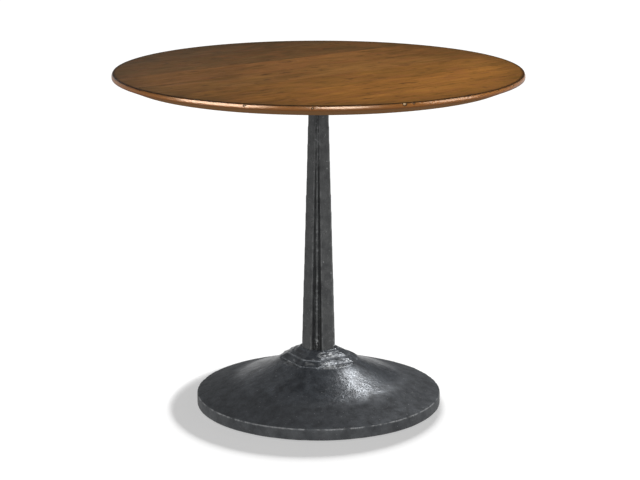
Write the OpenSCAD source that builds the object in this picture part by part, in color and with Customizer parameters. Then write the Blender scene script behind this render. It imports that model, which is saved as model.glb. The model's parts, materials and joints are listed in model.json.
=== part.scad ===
// Round cafe table: a planked wooden top on a tapered cast iron column, with a bell shaped
// cast iron foot. Millimetres, +Z up. The origin is on the floor, on the column's axis.
// X runs along the planks of the top, and the column's faces look along X and Y.

/* [Overall] */
// Height of the top's upper face above the floor
table_h = 760; // [700:5:800]
// Diameter of the wooden top
top_d = 900; // [860:10:1000]
// Diameter of the cast foot
base_d = 550; // [540:5:600]

/* [Table top] */
// Thickness of the planks
top_t = 25; // [22:0.5:32]
// Height of the upright band round the edge
band_h = 7; // [4:0.5:9]
// Radius that rounds the upper edge over
edge_r = 3.5; // [1:0.5:5]
// Width of the bevel under the edge
bevel_w = 36; // [20:1:60]
// Place of the first glue line, from the middle of the top
seam_1 = -320; // [-335:1:-300]
// Place of the second glue line
seam_2 = -190; // [-200:1:-175]
// Place of the third glue line
seam_3 = -75; // [-90:1:-60]
// Place of the fourth glue line
seam_4 = 45; // [35:1:60]
// Place of the fifth glue line
seam_5 = 165; // [150:1:180]
// Place of the sixth glue line
seam_6 = 310; // [290:1:325]

/* [Spider plate] */
// Reach of each arm from the axis to its rounded tip
arm_reach = 245; // [240:1:300]
// Thickness of the arms
arm_t = 6; // [5:0.5:9]
// Width of an arm beside the hub
arm_root_w = 46; // [40:1:60]
// Width of an arm at its tip
arm_tip_w = 36; // [32:1:42]
// Diameter of the round plate at the hub
hub_plate_d = 96; // [84:1:120]
// Diameter of the boss below the hub plate
hub_boss_d = 50; // [46:1:64]
// Depth of the boss below the arms
hub_boss_h = 24; // [21:1:30]
// Depth of the nut pocket in the hub
nut_pocket_h = 16; // [15:0.5:20]
// Diameter of the nut pocket
nut_pocket_d = 32; // [29:0.5:38]
// Thickness of the stiffening rib under each arm
arm_rib_t = 6; // [4:0.5:8]
// Depth of the stiffening rib where it meets the boss
arm_rib_h = 16; // [10:0.5:20]
// Length of the rib at its full depth, from the boss
arm_rib_shelf = 3; // [1:0.5:10]
// Depth of the rib at its end
arm_rib_end_h = 1; // [0.5:0.5:3]
// How far the stiffening rib ends short of the arm's tip
arm_rib_gap = 40; // [20:1:90]

/* [Wood screws] */
// Distance of the inner screws from the axis
screw_in_r = 120; // [105:1:130]
// Distance of the outer screws in from the arm's tip
screw_tip_gap = 20; // [12:1:30]
// Offset of each screw from its arm's middle line
screw_off = 11; // [9.5:0.5:12]
// Diameter of the screw shank
screw_d = 4.5; // [3.5:0.1:5]
// Length of the screw below its head
screw_len = 20; // [18:0.5:24]
// Diameter of the screw head
screw_head_d = 9; // [7:0.5:10]
// Height of the screw head
screw_head_h = 3; // [2:0.5:4]
// Length of the screw's point
screw_tip_h = 4; // [3:0.5:6]
// Width of the slot in the head
slot_w = 1.2; // [0.8:0.1:1.6]
// Depth of the slot in the head
slot_h = 1; // [0.6:0.1:1.5]

/* [Column] */
// Width over two opposite faces at the head
column_head_w = 34; // [32:0.5:40]
// Width over two opposite faces at the foot
column_foot_w = 69.6; // [60:0.2:71]
// Width of one raised face at the head
face_head_w = 23.4; // [21:0.1:25]
// Width of one raised face at the foot
face_foot_w = 31.2; // [28:0.1:34]
// Width of the square core at the head
core_head_w = 28; // [26.5:0.5:30]
// Width of the square core at the foot
core_foot_w = 48; // [44:0.5:52]
// Diameter at the head of the bead that runs down each corner of the core
bead_head_d = 2.6; // [2:0.1:3.5]
// Diameter of that bead at the foot
bead_foot_d = 5; // [3:0.1:6]
// Diameter of the hollow at the head
hollow_head_d = 15; // [14:0.5:18]
// Diameter of the hollow at the foot
hollow_foot_d = 32; // [20:0.5:34]
// Diameter of the spigot that locates the head in the hub
head_spigot_d = 22; // [20:0.5:25]
// Length of the head spigot
head_spigot_h = 6; // [4:0.5:7]
// Diameter of the spigot that locates the foot in the plinth
foot_spigot_d = 44; // [40:0.5:50]
// Length of the foot spigot
foot_spigot_h = 8; // [5:0.5:12]

/* [Foot casting] */
// Gap between the rim and the floor with the levellers screwed in
rim_gap = 2; // [1:0.5:6]
// Height of the upright rim
rim_h = 26; // [20:0.5:32]
// Thickness of the rim
rim_t = 12; // [9:0.5:16]
// Radius of the rim's upper edge
rim_edge_r = 2; // [0.5:0.5:4]
// Chamfer on the rim's lower edge
rim_chamfer = 1.5; // [0.5:0.5:3]
// Wall of the bell, measured upright
bell_wall = 10; // [7:0.5:13]
// Slope of the outer part of the bell, in degrees
bell_a = 19.3; // [16:0.1:22]
// Radius from the axis where the bell starts to curve up
bell_in_r = 170; // [150:1:190]
// Radius of the curve of the bell
bell_curve_r = 560; // [480:5:700]
// Radius from the axis where the tighter neck starts
neck_in_r = 112; // [105:1:125]
// Radius of the curve of the neck
neck_curve_r = 131; // [120:1:170]
// Thickness of the four ribs under the bell
rib_t = 8; // [6:0.5:12]
// Height of the ribs' lower edge above the floor, near the rim
rib_low_z = 20; // [17:0.5:24]
// How far in from the levellers that edge starts to rise
rib_rise_in = 30; // [20:1:60]
// How far the ribs end above the lower face of the rod's boss
rib_boss_gap = 3; // [1:0.5:8]

/* [Plinth] */
// Turn of the plinth against the column, in degrees, as it was bolted up
plinth_turn = 7; // [0:0.5:10]
// Width over two opposite faces of the lower ledge
ledge_w = 149.6; // [140:0.2:152]
// Height of the ledge above the bell
ledge_h = 3.5; // [2:0.5:6]
// Width of the flat tread on the ledge
ledge_tread = 2; // [0.5:0.5:3]
// Width of the middle step
step_w = 121; // [114:0.5:126]
// Height of the slope between the ledge and the step
cove_h = 8; // [5:0.5:11]
// Height of the upright side of the step
step_h = 2.8; // [1.5:0.1:5]
// Width of the flat tread on the step and on the lip
step_tread = 1; // [0.5:0.5:2]
// Width of the upper lip
lip_w = 100; // [94:0.5:104]
// Height of the slope between the step and the lip
slope_h = 4.2; // [2:0.1:7]
// Height of the upright side of the lip
lip_h = 1.7; // [1:0.1:3]
// Width of the collar where it leaves the lip
collar_w = 85; // [82:0.5:88]
// Height of the slope between the lip and the collar
cap_h = 1.6; // [1:0.1:3]
// Width of the seat on top of the collar
seat_w = 74; // [73:0.5:78]
// Height of the collar
collar_h = 5.2; // [4:0.1:9]

/* [Rod and nuts] */
// Diameter of the rod that clamps plate, column and foot together
rod_d = 12; // [10:0.5:12.5]
// Diameter of the hole for the rod in both castings
rod_hole_d = 13.5; // [13:0.5:15]
// Width over the flats of a rod nut
nut_af = 18; // [17:0.5:20]
// Height of a rod nut
nut_h = 10; // [8:0.5:11]
// Diameter of a rod washer
washer_d = 26; // [24:0.5:28]
// Thickness of a rod washer
washer_t = 2.5; // [1.5:0.5:3]
// Length of the rod that stands out of each nut
rod_end = 2; // [1:0.5:2]
// Chamfer on both ends of the rod
rod_chamfer = 1; // [0.5:0.5:2]
// Diameter of the boss under the plinth that the lower nut pulls on
rod_boss_d = 52; // [40:1:60]
// Length of that boss
rod_boss_h = 31; // [20:1:36]

/* [Levellers] */
// Distance of each leveller in from the rim's outer face
leveller_inset = 50; // [42:1:60]
// Diameter of the boss that holds a leveller
leveller_boss_d = 28; // [24:1:34]
// How far that boss ends below the bell's outer face
leveller_boss_sink = 3; // [2:0.5:5]
// Iron left above the blind hole of a leveller
leveller_hole_wall = 5; // [4:0.5:8]
// Diameter of the leveller's screw
stem_d = 10; // [8:0.5:12]
// Width over the flats of the leveller's hexagon
hex_af = 17; // [15:0.5:19]
// Height of the leveller's hexagon
hex_h = 7; // [5:0.5:8]
// Diameter of the leveller's pad
pad_d = 34; // [28:1:40]
// Height of the pad's round edge
pad_rim_h = 4; // [3:0.5:5]
// Height of the whole pad
pad_h = 8; // [7:0.5:9]
// Thickness of the pad under its socket
pad_floor_t = 2.5; // [1.5:0.5:4]
// Wall of the pad's collar round the screw
pad_collar_t = 4; // [3:0.5:6]
// Chamfer on the edges of the pad and on the screw's end
pad_chamfer = 1; // [0.5:0.1:1.2]

/* [Hidden] */

$fn = 96;
// Overlap that lets joined solids share volume, and cuts run past a face
eps = 1;
// Gap between parts that move past each other face to face
face_gap = 0.3;
// Radial clearance of a shaft, screw or spigot in its hole
fit_gap = 0.05;
// Clearance of the column's spigots in their seats, on the radius
spigot_gap = 0.2;
// How far the beads' middle lines lie inside the corners of the core
bead_sink = 0.6;
// Overlap of two tapered steps of the plinth that meet at one level
skin = 0.01;
// Width over the cut corners of the plinth, as a share of the width over its faces
corner_share = 1.138;
// Radius of the flat land under the plinth, as a share of the reach of its cut corners
land_share = 1.035;
// Number of straight steps in each curve of the bell, and in each rounded edge
bell_steps = 14;
edge_steps = 6;

iron = "#3d3e41";
steel = "#a5a8ab";
wood_dark = "#6e4c2c";
wood_mid = "#85582f";
wood_light = "#936234";
nylon = "#26272a";

// Levels of the foot casting
rim_z = rim_gap + rim_h;
bell_z0 = rim_z + (base_d / 2 - bell_in_r) * tan(bell_a);
neck_sin = sin(bell_a) + (bell_in_r - neck_in_r) / bell_curve_r;
neck_z0 = bell_z0 + bell_curve_r * (cos(bell_a) - cos(asin(neck_sin)));
land_r = ledge_w / 2 * corner_share * land_share;
land_z = neck_z(land_r);
ledge_z = land_z + ledge_h;
cove_z = ledge_z + cove_h;
step_z = cove_z + step_h;
slope_z = step_z + slope_h;
lip_z = slope_z + lip_h;
cap_z = lip_z + cap_h;
seat_z = cap_z + collar_h;
ceiling_z = land_z - bell_wall;
rod_boss_z = ceiling_z - rod_boss_h;

// Levels of the top and the spider plate
under_z = table_h - top_t;
arm_z = under_z - arm_t;
head_z = arm_z - hub_boss_h;
pocket_z = under_z - nut_pocket_h;

// Levels of the rod
nut_up_z = pocket_z + washer_t;
rod_top_z = nut_up_z + nut_h + rod_end;
nut_low_z = rod_boss_z - washer_t - nut_h;
rod_bottom_z = nut_low_z - rod_end;

// Places of the outer screws, the arms' ribs and the levellers
screw_out_r = arm_reach - screw_tip_gap;
arm_rib_reach = arm_reach - arm_rib_gap;
leveller_r = base_d / 2 - leveller_inset;

// Levels of the levellers
hex_z = pad_h + face_gap;
leveller_boss_z = hex_z + hex_h + face_gap;
stem_hole_top = bell_z(leveller_r + stem_d) - leveller_hole_wall;
stem_top = stem_hole_top - face_gap;

seams = [-top_d, seam_1, seam_2, seam_3, seam_4, seam_5, seam_6, top_d];
board_colors = [wood_light, wood_light, wood_mid, wood_light, wood_mid, wood_dark, wood_dark];
screws = [for (arm = [0:3]) each [
    [screw_in_r, screw_off, arm * 90],
    [screw_out_r, -screw_off, arm * 90]
]];

// Height of the neck's curve at a radius
function neck_z(r) =
    neck_z0 + neck_curve_r * (cos(asin(neck_sin))
        - cos(asin(neck_sin + (neck_in_r - r) / neck_curve_r)));

// Height of the bell's outer face at a radius
function bell_z(r) =
    r >= bell_in_r ? rim_z + (base_d / 2 - r) * tan(bell_a)
    : r >= neck_in_r ? bell_z0 + bell_curve_r * (cos(bell_a)
        - cos(asin(sin(bell_a) + (bell_in_r - r) / bell_curve_r)))
    : r >= land_r ? neck_z(r)
    : land_z;

// Evenly spaced values from a to b
function spread(a, b, n) = [for (i = [0:n]) a + (b - a) * i / n];

// Slab whose half width in X goes from a0 to a1 between two levels, long in Y
module taper_x(a0, a1, z0, z1) {
    rotate([90, 0, 0])
        linear_extrude(base_d / 2, center = true)
            polygon([[-a0, z0], [a0, z0], [a1, z1], [-a1, z1]]);
}

// Square block that tapers alike on all four sides
module taper_square(a0, a1, z0, z1) {
    intersection() {
        taper_x(a0, a1, z0, z1);
        rotate([0, 0, 90]) taper_x(a0, a1, z0, z1);
    }
}

// The same block with its four corners cut
module taper_cut(w0, w1, z0, z1) {
    intersection() {
        taper_square(w0 / 2, w1 / 2, z0, z1);
        rotate([0, 0, 45])
            taper_square(w0 / 2 * corner_share, w1 / 2 * corner_share, z0, z1);
    }
}

// Stepped plinth that carries the column
module plinth() {
    rotate([0, 0, -plinth_turn]) {
        taper_cut(ledge_w, ledge_w, ceiling_z + eps, ledge_z);
        taper_cut(ledge_w - 2 * ledge_tread, step_w, ledge_z - skin, cove_z);
        taper_cut(step_w, step_w, cove_z - eps, step_z);
        taper_cut(step_w - 2 * step_tread, lip_w, step_z - skin, slope_z);
        taper_cut(lip_w, lip_w, slope_z - eps, lip_z);
        taper_cut(lip_w - 2 * step_tread, collar_w, lip_z - skin, cap_z);
        taper_cut(collar_w, seat_w, cap_z - skin, seat_z);
    }
}

// Round bell with its rim, hollow below
module bell() {
    r_out = base_d / 2;
    r_in = r_out - rim_t;
    edge_z = rim_z - rim_edge_r * tan(45 - bell_a / 2);
    outer = concat(
        [for (r = spread(land_r, neck_in_r, bell_steps)) [r, bell_z(r)]],
        [for (r = spread(neck_in_r, bell_in_r, bell_steps)) if (r > neck_in_r) [r, bell_z(r)]]
    );
    edge = [for (a = spread(90 - bell_a, 0, edge_steps))
        [r_out - rim_edge_r + rim_edge_r * cos(a), edge_z + rim_edge_r * sin(a)]];
    inner = concat(
        [for (r = spread(bell_in_r, neck_in_r, bell_steps)) [r, bell_z(r) - bell_wall]],
        [for (r = spread(neck_in_r, land_r, edge_steps)) if (r < neck_in_r)
            [r, bell_z(r) - bell_wall]]
    );
    rotate_extrude($fn = 180)
        polygon(concat(
            [[0, land_z]],
            outer,
            edge,
            [[r_out, rim_gap + rim_chamfer], [r_out - rim_chamfer, rim_gap], [r_in, rim_gap],
             [r_in, bell_z(r_in) - bell_wall]],
            inner,
            [[0, ceiling_z]]
        ));
}

// Rib under the bell, from the rod's boss out to the rim
module bell_rib() {
    start_r = rod_boss_d / 2 - eps;
    end_r = base_d / 2 - rim_t + eps;
    top = [for (r = spread(end_r, start_r, bell_steps)) [r, bell_z(r) - bell_wall / 2]];
    rotate([90, 0, 0])
        linear_extrude(rib_t, center = true)
            polygon(concat(
                [[start_r, rod_boss_z + rib_boss_gap], [leveller_r - rib_rise_in, rib_low_z],
                 [end_r, rib_low_z]],
                top
            ));
}

// Boss under the bell that holds a leveller
module leveller_boss() {
    top = bell_z(leveller_r + leveller_boss_d / 2) - leveller_boss_sink;
    translate([leveller_r, 0, leveller_boss_z])
        cylinder(h = top - leveller_boss_z, d = leveller_boss_d, $fn = 64);
}

module base_casting() {
    color(iron)
    difference() {
        union() {
            bell();
            plinth();
            translate([0, 0, rod_boss_z])
                cylinder(h = rod_boss_h + eps, d = rod_boss_d);
            for (a = [45:90:315]) rotate([0, 0, a]) {
                bell_rib();
                leveller_boss();
            }
        }
        translate([0, 0, rod_boss_z - eps])
            cylinder(h = seat_z - rod_boss_z + 2 * eps, d = rod_hole_d);
        translate([0, 0, seat_z - foot_spigot_h - face_gap])
            cylinder(h = foot_spigot_h + face_gap + eps, r = foot_spigot_d / 2 + spigot_gap);
        for (a = [45:90:315]) rotate([0, 0, a])
            translate([leveller_r, 0, leveller_boss_z - eps])
                cylinder(h = stem_hole_top - leveller_boss_z + eps, r = stem_d / 2 + fit_gap,
                    $fn = 48);
    }
}

// Bead down one corner of the core, leaning with the taper
module corner_bead() {
    run = head_z - seat_z;
    lean = atan((core_foot_w - core_head_w) / 2 * sqrt(2) / run);
    start = core_foot_w / 2 - bead_sink;
    intersection() {
        translate([start, start, seat_z])
            rotate([0, 0, 45])
                rotate([0, -lean, 0])
                    translate([0, 0, -bead_foot_d])
                        cylinder(h = run / cos(lean) + 2 * bead_foot_d, d1 = bead_foot_d,
                            d2 = bead_head_d, $fn = 32);
        translate([0, 0, seat_z]) cylinder(h = run, r = column_foot_w);
    }
}

// Raised faces on two opposite sides of the core, narrower and flatter towards the head
module raised_faces() {
    intersection() {
        taper_x(column_foot_w / 2, column_head_w / 2, seat_z, head_z);
        rotate([0, 0, 90])
            taper_x(face_foot_w / 2, face_head_w / 2, seat_z, head_z);
    }
}

module column_casting() {
    color(iron)
    difference() {
        union() {
            taper_square(core_foot_w / 2, core_head_w / 2, seat_z, head_z);
            for (a = [0, 90]) rotate([0, 0, a]) raised_faces();
            for (a = [0:90:270]) rotate([0, 0, a]) corner_bead();
            translate([0, 0, seat_z - foot_spigot_h])
                cylinder(h = foot_spigot_h + eps, d = foot_spigot_d);
            translate([0, 0, head_z - eps])
                cylinder(h = head_spigot_h + eps, d = head_spigot_d);
        }
        translate([0, 0, seat_z - foot_spigot_h])
            cylinder(h = head_z - seat_z + foot_spigot_h, d1 = hollow_foot_d, d2 = hollow_head_d);
        translate([0, 0, seat_z - foot_spigot_h - eps])
            cylinder(h = head_z + head_spigot_h - seat_z + foot_spigot_h + 2 * eps,
                d = rod_hole_d);
    }
}

// One arm of the spider plate with its rib
module spider_arm() {
    tip_r = arm_tip_w / 2;
    rib_root_r = (hub_boss_d + nut_pocket_d) / 4;
    translate([0, 0, arm_z])
        linear_extrude(arm_t) {
            polygon([
                [0, -arm_root_w / 2], [arm_reach - tip_r, -tip_r],
                [arm_reach - tip_r, tip_r], [0, arm_root_w / 2]
            ]);
            translate([arm_reach - tip_r, 0]) circle(r = tip_r, $fn = 64);
        }
    rotate([90, 0, 0])
        linear_extrude(arm_rib_t, center = true)
            polygon([
                [rib_root_r, arm_z + eps], [rib_root_r, arm_z - arm_rib_h],
                [hub_boss_d / 2 + arm_rib_shelf, arm_z - arm_rib_h],
                [arm_rib_reach, arm_z - arm_rib_end_h], [arm_rib_reach, arm_z + eps]
            ]);
}

module spider_plate() {
    color(iron)
    difference() {
        union() {
            for (a = [0:90:270]) rotate([0, 0, a]) spider_arm();
            translate([0, 0, arm_z]) cylinder(h = arm_t, d = hub_plate_d);
            translate([0, 0, head_z]) cylinder(h = hub_boss_h + eps, d = hub_boss_d);
        }
        translate([0, 0, pocket_z]) cylinder(h = nut_pocket_h + eps, d = nut_pocket_d);
        translate([0, 0, head_z - eps])
            cylinder(h = pocket_z - head_z + 2 * eps, d = rod_hole_d);
        translate([0, 0, head_z - eps])
            cylinder(h = head_spigot_h + face_gap + eps, r = head_spigot_d / 2 + spigot_gap);
        for (s = screws) rotate([0, 0, s[2]])
            translate([s[0], s[1], arm_z - eps])
                cylinder(h = arm_t + 2 * eps, r = screw_d / 2 + spigot_gap, $fn = 32);
    }
}

module tie_rod() {
    color(steel)
    rotate_extrude($fn = 64)
        polygon([
            [0, rod_bottom_z], [rod_d / 2 - rod_chamfer, rod_bottom_z],
            [rod_d / 2, rod_bottom_z + rod_chamfer], [rod_d / 2, rod_top_z - rod_chamfer],
            [rod_d / 2 - rod_chamfer, rod_top_z], [0, rod_top_z]
        ]);
}

module washer(z) {
    color(steel)
    translate([0, 0, z])
        difference() {
            cylinder(h = washer_t, d = washer_d);
            translate([0, 0, -eps])
                cylinder(h = washer_t + 2 * eps, r = rod_d / 2 + spigot_gap);
        }
}

// Hexagon nut, its corners turned off at both faces
module nut(z) {
    half = nut_af / 2;
    corner = half / cos(30);
    color(steel)
    translate([0, 0, z])
        difference() {
            intersection() {
                cylinder(h = nut_h, r = corner, $fn = 6);
                rotate_extrude($fn = 64)
                    polygon([
                        [0, 0], [half, 0], [corner, (corner - half) * tan(30)],
                        [corner, nut_h - (corner - half) * tan(30)], [half, nut_h], [0, nut_h]
                    ]);
            }
            translate([0, 0, -eps]) cylinder(h = nut_h + 2 * eps, r = rod_d / 2 + fit_gap);
        }
}

module rod_washer_lower() { washer(rod_boss_z - washer_t); }
module rod_nut_lower() { nut(nut_low_z); }
module rod_washer_upper() { washer(pocket_z); }
module rod_nut_upper() { nut(nut_up_z); }

// Round headed screw with a slot, point up
module wood_screw() {
    head_r = screw_head_d / 2;
    difference() {
        rotate_extrude($fn = 32)
            polygon([
                [0, -screw_head_h], [head_r / 2, -screw_head_h],
                [head_r * 0.9, -screw_head_h / 2], [head_r, 0], [screw_d / 2, 0],
                [screw_d / 2, screw_len - screw_tip_h], [screw_d / 10, screw_len], [0, screw_len]
            ]);
        translate([0, 0, -screw_head_h])
            cube([screw_head_d, slot_w, 2 * slot_h], center = true);
    }
}

// Screws that hold the plate to the planks from below
module wood_screws() {
    color(steel)
    for (s = screws) rotate([0, 0, s[2]])
        translate([s[0], s[1], arm_z]) wood_screw();
}

// Turned outline of the whole top
module top_disc() {
    r = top_d / 2;
    band_z = table_h - edge_r - band_h;
    rotate_extrude($fn = 240)
        polygon(concat(
            [[0, under_z], [r - bevel_w, under_z], [r, band_z]],
            [for (a = spread(0, 90, edge_steps))
                [r - edge_r + edge_r * cos(a), table_h - edge_r + edge_r * sin(a)]],
            [[0, table_h]]
        ));
}

// Board number i of the glued top
module top_board(i) {
    color(board_colors[i - 1])
    difference() {
        intersection() {
            top_disc();
            translate([-top_d, seams[i - 1], under_z - eps])
                cube([2 * top_d, seams[i] - seams[i - 1], top_t + 2 * eps]);
        }
        for (s = screws) rotate([0, 0, s[2]])
            translate([s[0], s[1], under_z - eps])
                cylinder(h = screw_len - arm_t + eps + face_gap, r = screw_d / 2 + fit_gap,
                    $fn = 32);
    }
}

// Foot pad number i, with the socket that the leveller's screw turns in
module leveller_pad(i) {
    pad_r = pad_d / 2;
    collar_r = stem_d / 2 + pad_collar_t;
    color(nylon)
    rotate([0, 0, 45 + 90 * (i - 1)])
        translate([leveller_r, 0, 0])
            difference() {
                rotate_extrude($fn = 64)
                    polygon([
                        [0, 0], [pad_r - pad_chamfer, 0], [pad_r, pad_chamfer],
                        [pad_r, pad_rim_h - pad_chamfer], [pad_r - pad_chamfer, pad_rim_h],
                        [collar_r + pad_chamfer, pad_h - pad_chamfer], [collar_r, pad_h],
                        [0, pad_h]
                    ]);
                translate([0, 0, pad_floor_t])
                    cylinder(h = pad_h, r = stem_d / 2 + fit_gap, $fn = 48);
            }
}

// Screw number i of the levellers, with its spanner hexagon
module leveller_stem(i) {
    shank_r = stem_d / 2;
    color(steel)
    rotate([0, 0, 45 + 90 * (i - 1)])
        translate([leveller_r, 0, 0]) {
            translate([0, 0, pad_floor_t + face_gap])
                cylinder(h = hex_z - pad_floor_t, r = shank_r, $fn = 48);
            translate([0, 0, hex_z]) cylinder(h = hex_h, r = hex_af / 2 / cos(30), $fn = 6);
            rotate_extrude($fn = 48)
                polygon([
                    [0, hex_z + eps], [shank_r, hex_z + eps],
                    [shank_r, stem_top - pad_chamfer], [shank_r - pad_chamfer, stem_top],
                    [0, stem_top]
                ]);
        }
}

base_casting();
column_casting();
spider_plate();
tie_rod();
rod_washer_lower();
rod_nut_lower();
rod_washer_upper();
rod_nut_upper();
wood_screws();
top_board(1);  // top_board_1
top_board(2);  // top_board_2
top_board(3);  // top_board_3
top_board(4);  // top_board_4
top_board(5);  // top_board_5
top_board(6);  // top_board_6
top_board(7);  // top_board_7
leveller_pad(1);  // leveller_pad_1
leveller_pad(2);  // leveller_pad_2
leveller_pad(3);  // leveller_pad_3
leveller_pad(4);  // leveller_pad_4
leveller_stem(1);  // leveller_stem_1
leveller_stem(2);  // leveller_stem_2
leveller_stem(3);  // leveller_stem_3
leveller_stem(4);  // leveller_stem_4
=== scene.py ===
"""Round cafe table: a stained plank top on a tapered cast iron column with a bell shaped foot.

Lengths are in metres, or in mm where a comment says so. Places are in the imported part's frame.
"""

import json
import math

import bmesh
import bpy
import numpy as np
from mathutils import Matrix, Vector, noise

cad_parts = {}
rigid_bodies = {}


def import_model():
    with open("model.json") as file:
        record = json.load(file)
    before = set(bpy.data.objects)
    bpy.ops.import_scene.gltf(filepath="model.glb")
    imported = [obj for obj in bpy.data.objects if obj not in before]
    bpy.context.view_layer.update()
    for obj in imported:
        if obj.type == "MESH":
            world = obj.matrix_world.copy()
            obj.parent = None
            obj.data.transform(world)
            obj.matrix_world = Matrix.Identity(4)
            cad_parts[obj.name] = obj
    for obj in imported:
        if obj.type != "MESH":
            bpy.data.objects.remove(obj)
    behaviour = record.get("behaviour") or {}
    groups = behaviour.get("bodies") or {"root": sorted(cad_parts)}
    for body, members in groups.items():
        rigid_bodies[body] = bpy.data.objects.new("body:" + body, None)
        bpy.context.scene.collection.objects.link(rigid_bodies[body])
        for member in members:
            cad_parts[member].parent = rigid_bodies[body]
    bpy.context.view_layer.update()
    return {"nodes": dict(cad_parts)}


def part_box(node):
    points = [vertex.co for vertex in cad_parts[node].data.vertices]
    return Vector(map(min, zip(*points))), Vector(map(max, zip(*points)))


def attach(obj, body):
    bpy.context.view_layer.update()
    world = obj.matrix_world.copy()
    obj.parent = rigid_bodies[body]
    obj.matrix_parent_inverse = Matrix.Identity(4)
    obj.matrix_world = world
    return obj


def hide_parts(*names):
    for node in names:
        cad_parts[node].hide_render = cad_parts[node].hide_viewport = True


MM = 0.001

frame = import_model()
scene = bpy.context.scene

# Sizes that the frame gives
BOARDS = [f"top_board_{number}" for number in range(1, 8)]
TOP_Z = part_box("top_board_4")[1][2]
UNDER_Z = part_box("top_board_4")[0][2]
TOP_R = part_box("top_board_4")[1][0]
FOOT_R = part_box("base_casting")[1][0]
SEAT_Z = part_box("base_casting")[1][2]

# Numbers of the four levellers
LEVELLERS = range(1, 5)

# Edge of the top, as it was turned: an upright band whose upper part rounds over, and a wide
# bevel underneath. TURNS is the number of steps round it
BAND_Z = TOP_Z - 10.5 * MM
ROUND_H = 9 * MM
ROUND_W = 4.2 * MM
BEVEL_W = 36 * MM
TURNS = 1440

# Foot casting: the top of its rim, the reach of its plinth and where that starts, the levellers'
# screws and the gap round them
RIM_Z = 28 * MM
PLINTH_R = 92 * MM
PLINTH_Z = 103 * MM
SCREW_R = 5 * MM
BORE_GAP = 0.9 * MM

# Shoes have dulled the foot's wax: the radii where that starts and is full, how much rougher it
# leaves the iron, and the share of its dark tone, which is partly painted shade
DULL_FROM = 165 * MM
DULL_FULL = 215 * MM
DULL_ROUGHNESS = 0.4
DULL_AND_SHADE_SHARE = 0.56

# The share of the dark tone of soot and painted shade where a hollow is full of them
SOOT_AND_SHADE_SHARE = 0.8

# Spacing of the even skins that the castings' surfaces are worked on, and how far the column's
# stands out of its solid
FOOT_VOXEL = 1.7 * MM
COLUMN_VOXEL = 1.2 * MM
COLUMN_PROUD = 1.0 * MM

# How far a vertex stands out where an edge starts to be rubbed and where it is rubbed bare, and
# how deep a hollow lies where soot and painted shade start and where they are full
EDGE_FROM = 0.06 * MM
EDGE_FULL = 0.22 * MM
HOLLOW_FROM = 0.15 * MM
HOLLOW_FULL = 0.9 * MM

# Wood: how much a length along the grain counts beside one across it, which draws knots long, and
# half the width of a glue line. The sanded bevel is nearly matt
KNOT_SQUEEZE = 0.4
GLUE_HALF = 0.35 * MM
SANDED_ROUGHNESS = 0.95

CAMERA_AZIMUTH = math.radians(-38)
CAMERA_DISTANCE = 4.2697
CAMERA_HEIGHT = 1.4395
CAMERA_PITCH = math.radians(13.972)
CAMERA_YAW = math.radians(0.045)
CAMERA_LENS = 111.0

# Soft light from all round, as a share of white
FILL_LEVEL = 0.25
# The share of light that the floor's paint gives back, and what the camera sees of the floor:
# the share that the shadow takes from, and the light that is always there
FLOOR_PAINT = 0.8
FLOOR_SHADED = 0.62
FLOOR_STEADY = 0.46
# Light on the floor, and its lamp's height above the horizon and width
FLOOR_LEVEL = 0.8
LAMP_RISE = math.radians(23.6)
LAMP_SPREAD = math.radians(20)


def linear(hex_code):
    """Linear colour of an sRGB hex value such as 8f6339."""
    channels = [int(hex_code[i : i + 2], 16) / 255 for i in (0, 2, 4)]
    return [c / 12.92 if c <= 0.04045 else ((c + 0.055) / 1.055) ** 2.4 for c in channels] + [1]


def add(tree, kind, sockets=None, **settings):
    """Adds a node. sockets gives its inputs by name or number: a value, or an output to link."""
    node = tree.nodes.new(kind)
    for name, value in settings.items():
        setattr(node, name, value)
    for key, value in (sockets or {}).items():
        if isinstance(value, bpy.types.NodeSocket):
            tree.links.new(value, node.inputs[key])
        else:
            node.inputs[key].default_value = value
    return node


def new_material(name):
    """A material with an empty node tree, and that tree."""
    material = bpy.data.materials.new(name)
    material.use_nodes = True
    material.node_tree.nodes.clear()
    return material, material.node_tree


def new_piece(name, mesh, body, replaced):
    """An object of the table that rides on a body and stands for CAD nodes."""
    piece = bpy.data.objects.new(name, mesh)
    scene.collection.objects.link(piece)
    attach(piece, body)
    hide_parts(*replaced)
    return piece


def rings_round_knots(tree, flat, across, knots):
    """The grain's place across the plank, closed to rings round each knot, and the knots' hearts."""
    hearts = []
    for knot_x, knot_y, knot_size in knots:
        squeezed = add(
            tree,
            "ShaderNodeVectorMath",
            {0: flat, 1: (KNOT_SQUEEZE, 1, 0)},
            operation="MULTIPLY",
        ).outputs[0]
        away = add(
            tree,
            "ShaderNodeVectorMath",
            {0: squeezed, 1: (KNOT_SQUEEZE * knot_x, knot_y, 0)},
            operation="DISTANCE",
        ).outputs["Value"]
        ring_place = add(tree, "ShaderNodeMath", {0: away, 1: knot_y}).outputs[0]
        pull = add(
            tree,
            "ShaderNodeMapRange",
            {
                "Value": away,
                "From Min": 0.2 * knot_size * MM,
                "From Max": knot_size * MM,
                "To Min": 1.0,
                "To Max": 0.0,
            },
            interpolation_type="SMOOTHSTEP",
        ).outputs[0]
        across = add(
            tree, "ShaderNodeMix", {"Factor": pull, "A": across, "B": ring_place}
        ).outputs["Result"]
        heart = add(
            tree,
            "ShaderNodeMapRange",
            {
                "Value": away,
                "From Min": 0.3 * knot_size * MM,
                "From Max": 0.05 * knot_size * MM,
            },
        ).outputs[0]
        hearts.append(heart)
    return across, hearts


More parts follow.
